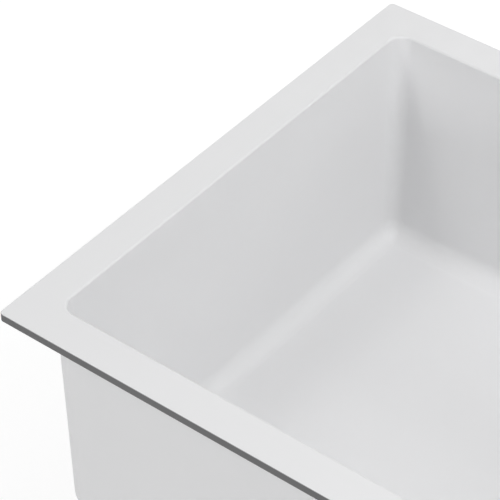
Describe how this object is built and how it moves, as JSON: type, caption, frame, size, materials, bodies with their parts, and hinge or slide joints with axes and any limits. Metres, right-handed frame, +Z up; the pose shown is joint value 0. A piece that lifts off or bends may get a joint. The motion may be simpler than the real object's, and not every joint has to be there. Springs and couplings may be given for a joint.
{
  "type": "undermount kitchen sink",
  "caption": "Undermount kitchen sink: one deep rectangular bowl with a flat rim, swing-out fixing tabs under it, and a lift-out basket strainer waste with a straight outlet.",
  "frame": {"origin": "centre of the rim's top face, in the plane that meets the worktop's underside", "axes": "+X along the long side, +Y to the back, +Z up out of the bowl's mouth"},
  "size_m": [0.838, 0.457, 0.3722],
  "materials": {
    "composite": "fine matte white composite",
    "stainless": "brushed",
    "chrome": "polished",
    "zinc_steel": "zinc plated",
    "brass": "turned",
    "nut_plastic": "moulded",
    "washer_plastic": "moulded",
    "foam_seal": "soft",
    "gasket_rubber": "matte",
    "stopper_rubber": "matte",
    "fibre": "pressed fibre"
  },
  "bodies": {
    "sink": {"bowl": "composite", "clip_blocks": "composite", "clip_inserts": "brass", "clip_screws": "zinc_steel", "clip_washers": "zinc_steel", "strainer_body": "stainless", "strainer_spider": "stainless", "strainer_flange_seal": "foam_seal", "strainer_floor_gasket": "gasket_rubber", "strainer_friction_washer": "fibre", "strainer_locknut": "nut_plastic", "tailpiece": "stainless", "tailpiece_washer": "washer_plastic", "coupling_nut": "chrome"},
    "basket": {"basket_cup": "stainless", "basket_post": "stainless", "basket_knob": "stainless", "basket_seal": "stopper_rubber", "basket_nut": "stainless"},
    "clip_front_left": {"clip_front_left": "zinc_steel"},
    "clip_front_right": {"clip_front_right": "zinc_steel"},
    "clip_right_front": {"clip_right_front": "zinc_steel"},
    "clip_right_back": {"clip_right_back": "zinc_steel"},
    "clip_back_right": {"clip_back_right": "zinc_steel"},
    "clip_back_left": {"clip_back_left": "zinc_steel"},
    "clip_left_back": {"clip_left_back": "zinc_steel"},
    "clip_left_front": {"clip_left_front": "zinc_steel"}
  },
  "joints": [
    {"name": "basket_lift", "type": "slide", "parent": "sink", "child": "basket", "axis": [0, 0, 1], "range_m": [0, 0.275]},
    {"name": "clip_front_left_swing", "type": "hinge", "parent": "sink", "child": "clip_front_left", "pos_m": [-0.15, -0.21815, -0.026], "axis": [0, 0, -1], "range_deg": [0, 180]},
    {"name": "clip_front_right_swing", "type": "hinge", "parent": "sink", "child": "clip_front_right", "pos_m": [0.15, -0.21815, -0.026], "axis": [0, 0, -1], "range_deg": [0, 180]},
    {"name": "clip_right_front_swing", "type": "hinge", "parent": "sink", "child": "clip_right_front", "pos_m": [0.40865, -0.11, -0.026], "axis": [0, 0, -1], "range_deg": [0, 180]},
    {"name": "clip_right_back_swing", "type": "hinge", "parent": "sink", "child": "clip_right_back", "pos_m": [0.40865, 0.11, -0.026], "axis": [0, 0, -1], "range_deg": [0, 180]},
    {"name": "clip_back_right_swing", "type": "hinge", "parent": "sink", "child": "clip_back_right", "pos_m": [0.15, 0.21815, -0.026], "axis": [0, 0, -1], "range_deg": [0, 180]},
    {"name": "clip_back_left_swing", "type": "hinge", "parent": "sink", "child": "clip_back_left", "pos_m": [-0.15, 0.21815, -0.026], "axis": [0, 0, -1], "range_deg": [0, 180]},
    {"name": "clip_left_back_swing", "type": "hinge", "parent": "sink", "child": "clip_left_back", "pos_m": [-0.40865, 0.11, -0.026], "axis": [0, 0, -1], "range_deg": [0, 180]},
    {"name": "clip_left_front_swing", "type": "hinge", "parent": "sink", "child": "clip_left_front", "pos_m": [-0.40865, -0.11, -0.026], "axis": [0, 0, -1], "range_deg": [0, 180]}
  ]
}
